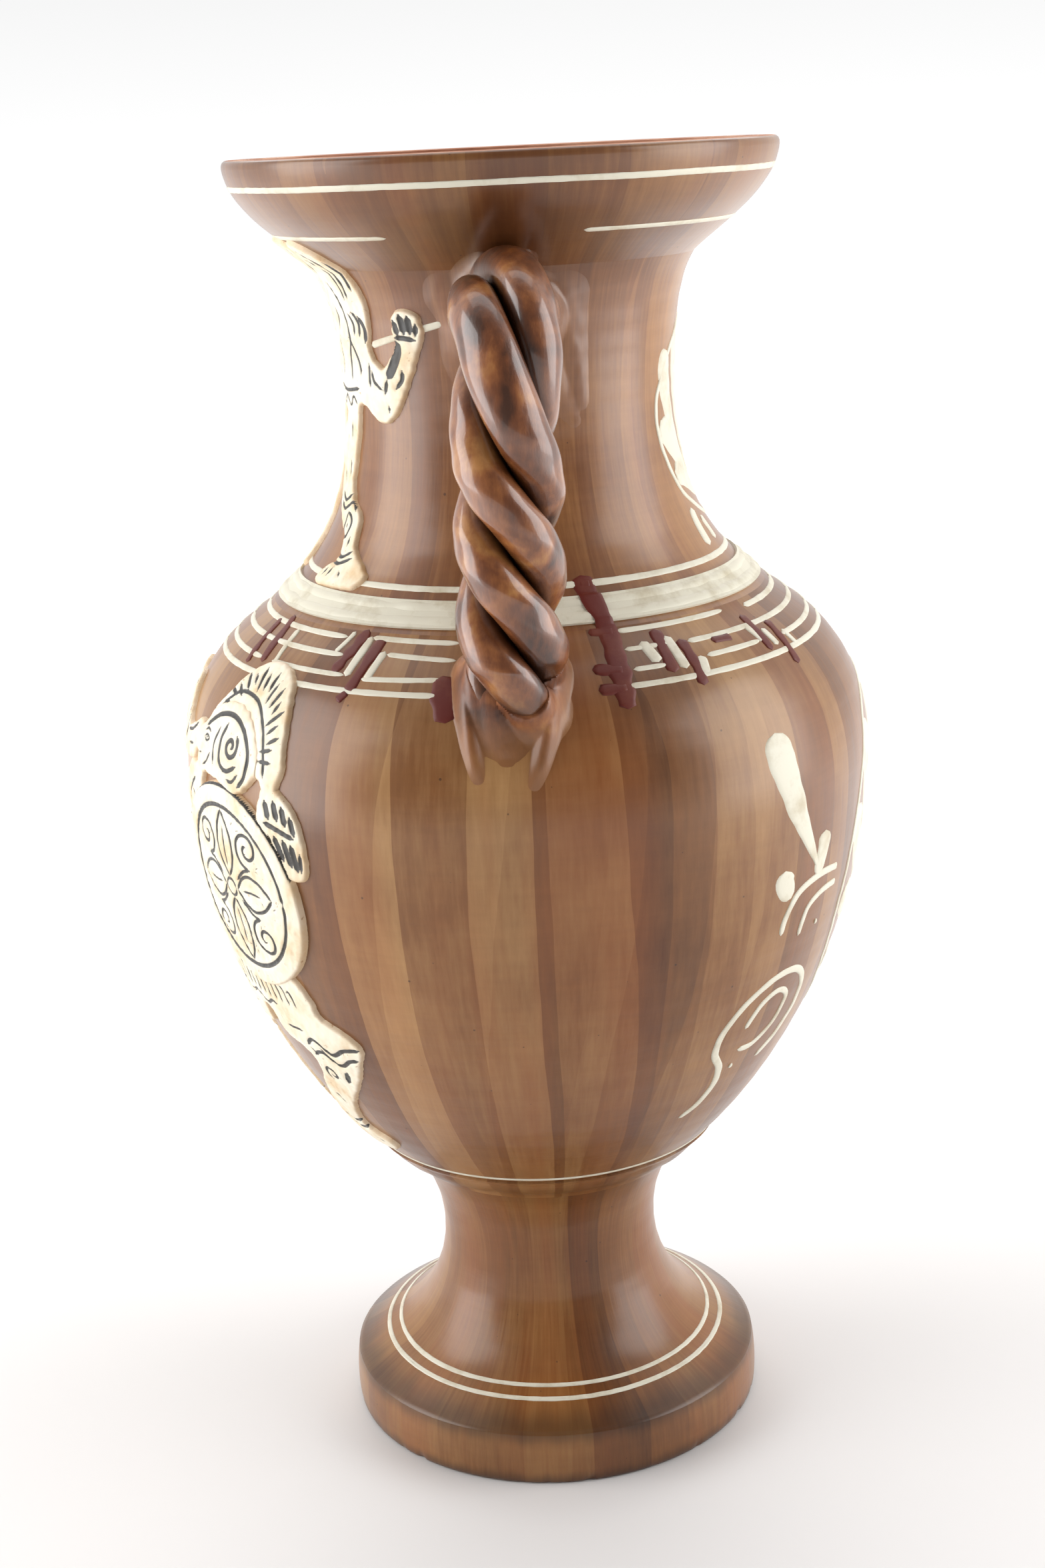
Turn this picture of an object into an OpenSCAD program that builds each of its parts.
// Footed clay amphora with two twisted rope handles and applied relief figures.
// +Z is up and the origin is the middle of the foot ring, on the table.
// The figured front faces -Y, and the handles stand on +X and -X.

/* [Vessel] */
// Overall height, from table to rim
vessel_h = 400; // [398:1:402]
// Thickness of the thrown wall
wall_t = 5; // [4.5:0.5:6]
// Thickness of the floor of the belly
floor_t = 8; // [6:1:10]
// Radius of the rim, at its widest
rim_r = 80.6; // [80:0.1:81]
// Width of the flat lip on the rim
lip_w = 4; // [3:0.5:5]
// Straight steps that each curve of the outline is cut into
curve_steps = 10; // [8:1:14]

/* [Foot] */
// Radius of the foot where it meets the table
foot_r = 66.5; // [66:0.5:68]
// Height of the top edge of the foot
foot_edge_z = 16.5; // [15:0.5:18]
// Radius at which the stem leaves the foot's top
stem_base_r = 56; // [55:0.5:57]
// Radius of the stem at its narrowest
stem_r = 34.6; // [33:0.1:36]
// Height at which foot and belly are joined
foot_joint_z = 90; // [88:1:91]

/* [Rings] */
// How far the collar under the belly stands out
collar_out = 1.5; // [1:0.1:2]
// How far the beads of the shoulder cordon stand out
cordon_out = 1.9; // [1:0.1:2.5]

/* [Rope handles] */
// Radius of one rolled clay strand, across the rope
strand_r = 7.1; // [6.8:0.1:7.1]
// Distance from the middle of the rope to the middle of a strand
lay_r = 8.1; // [7.8:0.1:8.2]
// Length of rope in which a strand makes one full turn
lay_pitch = 68; // [64:1:76]
// Share of the full twist that the arch keeps
arch_twist = 0.55; // [0.4:0.05:0.7]
// Turn of the first strand where the arch ends, in degrees
arch_phase = -85; // [-90:1:-80]
// Sideways shift of the rope where it meets the shoulder
rope_shift = -3.5; // [-4:0.5:0]
// Thickness of the pads that lute the rope to the wall
pad_t = 1.5; // [1.2:0.1:1.8]

/* [Relief] */
// Thickness of the applied figures
relief_t = 2.2; // [1.5:0.1:3]
// Thickness of a shield
shield_t = 3.2; // [2.5:0.1:4]
// Radius of a shield
shield_r = 31; // [29:0.5:31]
// Gap left between pieces that only touch
gap = 0.1; // [0.05:0.05:0.15]

/* [Hidden] */

clay = [0.42, 0.25, 0.15];
slip = [0.86, 0.80, 0.66];

// Heights at which the thrown pieces are joined
shoulder_z = 272;
throat_z = 369;

// Directions that the figures face, as degrees round the vessel from +X
neck_az = -70;
right_az = -60;
left_az = -120;

// Middle of a warrior's shield, sideways and up
shield_at = [6, 198];

// Length that an outline is carried outwards from the axis, to pass through the wall
reach = 130;

// ---- Curves ----

function bezier(p, t) =
    pow(1 - t, 3) * p[0] + 3 * pow(1 - t, 2) * t * p[1]
    + 3 * (1 - t) * t * t * p[2] + pow(t, 3) * p[3];

// The points of a curve after its first one, so that curves can be chained
function run(p, n = curve_steps) = [for (i = [1:n]) bezier(p, i / n)];

function reversed(list) = [for (i = [len(list) - 1:-1:0]) list[i]];

function unit(v) = v / norm(v);

// Points moved square to the line that they form, to its left for a positive distance
function moved(line, distance) = [
    for (i = [0:len(line) - 1])
        let (
            before = line[max(i - 1, 0)],
            after = line[min(i + 1, len(line) - 1)],
            along = unit(after - before)
        )
        line[i] + distance * [-along[1], along[0]]
];

// A closed smooth line through a few points
function smooth(points, n = 4) = [
    for (i = [0:len(points) - 1])
        let (
            count = len(points),
            a = points[(i + count - 1) % count],
            b = points[i],
            c = points[(i + 1) % count],
            d = points[(i + 2) % count]
        )
        for (k = [0:n - 1]) bezier([b, b + (c - a) / 6, c - (d - b) / 6, c], k / n)
];

// ---- Outline of the vessel, from the foot up, as [radius, height] ----

foot_side = [[foot_r, 0], [foot_r + 0.7, 7], [foot_r + 0.3, 13], [foot_r - 0.5, foot_edge_z]];
stem_low = [[stem_base_r, 23], [44, 28], [stem_r, 42], [stem_r, 60]];
stem_high = [[stem_r, 60], [stem_r, 74], [40, 84], [46, foot_joint_z]];
belly_low = [[46, foot_joint_z], [70.5, 108], [104, 158], [105.4, 221]];
belly_high = [[105.4, 221], [105.1, 257], [79.6, 266], [74.5, shoulder_z]];
neck_low = [[74.5, shoulder_z], [53.7, 287], [48.6, 306.4], [48.4, 330]];
neck_high = [[48.4, 330], [48.9, 338.5], [48.6, 358.6], [55.5, throat_z]];
mouth_side = [[55.5, throat_z], [63.8, 376.4], [80, 385.7], [rim_r, vessel_h - 1.5]];

foot_line = concat(foot_side, [stem_low[0]], run(stem_low), run(stem_high));
body_line = concat(
    [belly_low[0]], run(belly_low), run(belly_high),
    run(neck_low), run(neck_high), run(mouth_side)
);

foot_inside = moved(foot_line, wall_t + 1);
body_inside = moved(body_line, wall_t);

module foot_section() {
    hollow = [for (p = foot_inside) if (p[1] > 1) p];
    intersection() {
        polygon(concat(foot_line, reversed(hollow), [[foot_r - wall_t - 1, 0]]));
        square([foot_r + wall_t, foot_joint_z]);
    }
}

module body_section() {
    rim = [
        [rim_r - 1, vessel_h],
        [rim_r - 1 - lip_w, vessel_h]
    ];
    inner = [for (p = body_inside) if (p[1] > foot_joint_z + floor_t && p[1] < vessel_h - 2) p];
    first = inner[0];
    polygon(concat(
        body_line, rim, reversed(inner),
        [[first[0] - 8, foot_joint_z + floor_t], [0, foot_joint_z + floor_t], [0, foot_joint_z]]
    ));
}

// The turned body between two heights
module turned(low, high) {
    rotate_extrude($fn = 128)
        intersection() {
            body_section();
            translate([0, low]) square([vessel_h, high - low]);
        }
}

// Everything inside the outer face of the wall, used to trim what sits on it
module core(low, high) {
    line = [for (p = moved(body_line, -gap)) if (p[1] >= low && p[1] <= high) p];
    rotate_extrude($fn = 128)
        polygon(concat(
            [[0, line[0][1]]], line, [[0, line[len(line) - 1][1]]]
        ));
}

// A skin of even thickness over the outside of the wall
module skin(low, high, thick) {
    line = [for (p = body_line) if (p[1] >= low && p[1] <= high) p];
    rotate_extrude($fn = 128)
        polygon(concat(moved(line, -gap), reversed(moved(line, -gap - thick))));
}

// ---- Thrown pieces ----

module foot() {
    color(clay) rotate_extrude($fn = 128) foot_section();
}

module belly() {
    color(clay) turned(foot_joint_z, shoulder_z);
}

module neck() {
    color(clay) turned(shoulder_z, throat_z);
}

module mouth() {
    color(clay) turned(throat_z, vessel_h);
}

// A ring of clay laid along part of the outline, as beads side by side
module ring(line, beads, out) {
    last = len(line) - 1;
    inner = moved(line, -gap);
    outer = [
        for (i = [0:last])
            let (swell = 0.35 + 0.65 * abs(sin(180 * beads * i / last)))
            inner[i] + (moved(line, -1)[i] - line[i]) * out * swell
    ];
    rotate_extrude($fn = 128) polygon(concat(inner, reversed(outer)));
}

module stem_collar() {
    line = [
        for (p = concat(run(stem_high, 24), run(belly_low, 60)))
            if (p[1] > 87 && p[1] < 98) p
    ];
    color(clay) ring(line, 1, collar_out);
}

module shoulder_cordon() {
    line = [for (p = run(neck_low, 80)) if (p[1] > 273 && p[1] < 279.6) p];
    color(slip) ring(line, 2, cordon_out);
}

// ---- Rope handles ----

// Middle of the rope as [distance from the axis, height]: arch, drop, and landing on the shoulder
arch = [[38, 343], [60, 364], [92, 376], [95, 326]];
drop = [[95, 326], [96, 305], [96, 285], [95, 264]];
landing = [[95, 264], [94.5, 256], [92, 247], [88, 238]];
rope = concat([arch[0]], run(arch, 18), run(drop, 20), run(landing, 9));
rope_last = len(rope) - 1;
arch_last = 18;

// Length of rope up to each point
rope_len = [
    for (i = 0, s = 0; i <= rope_last; s = s + (i < rope_last ? norm(rope[i + 1] - rope[i]) : 0), i = i + 1) s
];
drop_len = rope_len[arch_last];

function rope_turn(i) =
    let (past = rope_len[i] - drop_len)
    arch_phase + 360 * past / lay_pitch * (past < 0 ? arch_twist : 1);

// Across-the-rope outline of one strand: a round coil, pressed flat against its two neighbours
function strand_ring(n = 16) = [
    for (k = [0:n - 1])
        let (
            out = lay_r + strand_r * cos(360 * k / n),
            wide = 1.22 * strand_r * sin(360 * k / n),
            room = max(out * tan(60) - 3 * gap, 0.2)
        )
        [out, sign(wide) * min(abs(wide), room)]
];

// One ring of a strand, placed at a point of the rope
function strand_at(i, turn) =
    let (
        along = unit(rope[min(i + 1, rope_last)] - rope[max(i - 1, 0)]),
        outward = [-along[1], along[0]],
        shift = rope_shift * rope_len[i] / rope_len[rope_last]
    )
    [
        for (q = strand_ring())
            let (
                a = rope_turn(i) + turn,
                n = q[0] * cos(a) - q[1] * sin(a),
                w = q[0] * sin(a) + q[1] * cos(a),
                p = rope[i] + n * outward
            )
            [p[0], shift + w, p[1]]
    ];

// Triangles that join a stack of rings of n points into a closed solid
function tube_faces(rings, n) = concat(
    [[for (k = [0:n - 1]) k]],
    [
        for (i = [0:rings - 2], k = [0:n - 1])
            each [
                [i * n + k, (i + 1) * n + k, (i + 1) * n + (k + 1) % n],
                [i * n + k, (i + 1) * n + (k + 1) % n, i * n + (k + 1) % n]
            ]
    ],
    [[for (k = [n - 1:-1:0]) (rings - 1) * n + k]]
);

module strand(turn) {
    points = [for (i = [0:rope_last]) each strand_at(i, turn)];
    color(clay) difference() {
        polyhedron(points, tube_faces(rope_last + 1, len(strand_ring())));
        core(225, vessel_h);
    }
}

// Pads of clay that lute the rope to the neck and to the shoulder
upper_pad = [[-15, 344], [-12, 358], [-2, 364], [12, 362], [17, 350], [18, 334], [12, 324], [-2, 330]];
lower_pad = [[-18, 262], [-6, 267], [10, 262], [12, 250], [7, 240], [-3, 234], [-13, 239], [-18, 249]];

module pad(outline, low, high) {
    color(clay) intersection() {
        skin(low, high, pad_t);
        rotate([90, 0, 90]) linear_extrude(reach) polygon(smooth(outline));
    }
}

module upper_root() {
    pad(upper_pad, 300, vessel_h);
}

module lower_root() {
    pad(lower_pad, 215, 285);
}

// The second handle is the first one turned half way round
module opposite() {
    rotate([0, 0, 180]) children();
}

// ---- Relief ----

// A flat outline, as [sideways, up], wrapped on to the wall at a direction round the vessel
module applied(az, thick) {
    color(slip) intersection() {
        skin(95, vessel_h, thick);
        rotate([0, 0, az]) rotate([90, 0, 90]) linear_extrude(reach) children();
    }
}

module spearman(outline) {
    applied(neck_az, relief_t) polygon(smooth(outline));
}

// A warrior's part: clear of the shield, and mirrored for the left-hand warrior
module warrior(az, outline) {
    applied(az, relief_t)
        mirror([az == left_az ? 1 : 0, 0])
            difference() {
                polygon(smooth(outline));
                translate(shield_at) circle(shield_r + 3 * gap, $fn = 96);
            }
}

module shield(az) {
    applied(az, shield_t)
        mirror([az == left_az ? 1 : 0, 0])
            translate(shield_at) circle(shield_r, $fn = 96);
}

head_line = [
    [-6, 377.5], [0, 376], [0.5, 369], [-4, 363], [-10.5, 359], [-18, 361], [-21, 367], [-18, 374], [-12, 378]
];
torso_line = [
    [3.5, 377], [10, 376], [15, 369.5], [17.5, 361], [16, 351], [11.5, 341], [8.5, 333], [3, 328.5],
    [-7, 330], [-12, 338], [-13.5, 350], [-9.5, 356.5], [-3, 361], [2, 368]
];
throwing_arm_line = [
    [16, 341], [20.5, 336], [23, 341], [24.5, 350], [26.5, 357.5], [31, 358.5], [34.5, 353],
    [33, 346], [29, 336], [25.5, 328.5], [21, 325.5], [17, 328], [12.5, 334.5]
];
fore_arm_line = [
    [-15, 354], [-23, 352.5], [-32, 357], [-38, 361], [-41, 356.5], [-34, 350], [-24, 346.5], [-15, 346.5]
];
spear_rear_leg_line = [
    [-2, 328], [5, 327], [4, 318], [3, 309], [6, 303], [12, 299], [15, 291], [22, 286.5], [26, 283.6],
    [24, 280.9], [14, 280.4], [5, 280.4], [6, 284], [10, 287], [7, 293], [0, 298], [-5, 304], [-8, 313], [-7.5, 322]
];
spear_front_leg_line = [
    [-9, 328.5], [-9.5, 321], [-10.5, 313], [-15, 304], [-18, 295], [-20.5, 287], [-22, 280.9],
    [-35, 280.6], [-34, 284.5], [-27, 288.5], [-26, 298], [-24, 309], [-20, 319], [-15, 328]
];

crest_line = [
    [-6, 247], [0, 255], [6, 260.5], [14, 262], [23, 259], [28.5, 252], [31.5, 244], [33, 236],
    [29, 231.5], [24.5, 234], [22.5, 242], [15.5, 249.5], [5, 251.5]
];
helmet_line = [
    [-6, 245.5], [5, 249.5], [14, 247.5], [20.5, 241], [21.5, 233], [14, 227.5], [4, 229.5], [-7, 231],
    [-12.5, 236], [-11, 242]
];
raised_arm_line = [
    [-14, 243], [-21, 240.5], [-28, 239], [-33.5, 244], [-37.5, 250.5], [-44, 250], [-45, 243],
    [-40, 235], [-31, 230.5], [-20, 232], [-14.5, 236]
];
chest_line = [
    [-8, 230], [-20, 229], [-29, 219], [-31, 204], [-29, 189], [-24, 176], [-14, 190], [-12, 212]
];
hand_line = [[26, 229], [34, 230], [39.5, 224], [41.5, 215], [40, 207], [32, 208], [25, 218]];
skirt_line = [
    [-22, 174], [-25, 163], [-17, 158.5], [-8, 157], [2, 156], [10, 156.5], [20, 157.5], [22, 167],
    [16, 178], [-6, 182]
];
rear_leg_line = [
    [2, 154.8], [14, 155], [26, 155.5], [35.5, 152], [36.5, 146], [32, 139], [22, 130], [14, 121],
    [12, 114], [17, 110], [15, 106.5], [4, 106], [-1, 109], [1, 119], [7, 130], [13, 139], [11, 145], [2, 148]
];
front_leg_line = [
    [-7, 155.5], [-19, 157], [-31, 152.5], [-36.5, 144], [-34, 134], [-29, 124], [-25, 115], [-30, 109.5],
    [-28, 106], [-18, 106], [-16.5, 113], [-20, 124], [-24, 135], [-24.5, 142], [-15, 147.5], [-6, 149]
];

foot();
stem_collar();
belly();
shoulder_cordon();
neck();
mouth();
strand(0);  // right_strand_a
strand(120);  // right_strand_b
strand(240);  // right_strand_c
opposite() strand(0);  // left_strand_a
opposite() strand(120);  // left_strand_b
opposite() strand(240);  // left_strand_c
upper_root();  // right_upper_root
lower_root();  // right_lower_root
opposite() upper_root();  // left_upper_root
opposite() lower_root();  // left_lower_root
spearman(head_line);  // spearman_head
spearman(torso_line);  // spearman_torso
spearman(throwing_arm_line);  // spearman_throwing_arm
spearman(fore_arm_line);  // spearman_fore_arm
spearman(spear_rear_leg_line);  // spearman_rear_leg
spearman(spear_front_leg_line);  // spearman_front_leg
warrior(right_az, crest_line);  // right_warrior_crest
warrior(right_az, helmet_line);  // right_warrior_head
warrior(right_az, raised_arm_line);  // right_warrior_raised_arm
warrior(right_az, chest_line);  // right_warrior_chest
shield(right_az);  // right_warrior_shield
warrior(right_az, hand_line);  // right_warrior_hand
warrior(right_az, skirt_line);  // right_warrior_skirt
warrior(right_az, rear_leg_line);  // right_warrior_rear_leg
warrior(right_az, front_leg_line);  // right_warrior_front_leg
warrior(left_az, crest_line);  // left_warrior_crest
warrior(left_az, helmet_line);  // left_warrior_head
warrior(left_az, raised_arm_line);  // left_warrior_raised_arm
warrior(left_az, chest_line);  // left_warrior_chest
shield(left_az);  // left_warrior_shield
warrior(left_az, hand_line);  // left_warrior_hand
warrior(left_az, skirt_line);  // left_warrior_skirt
warrior(left_az, rear_leg_line);  // left_warrior_rear_leg
warrior(left_az, front_leg_line);  // left_warrior_front_leg
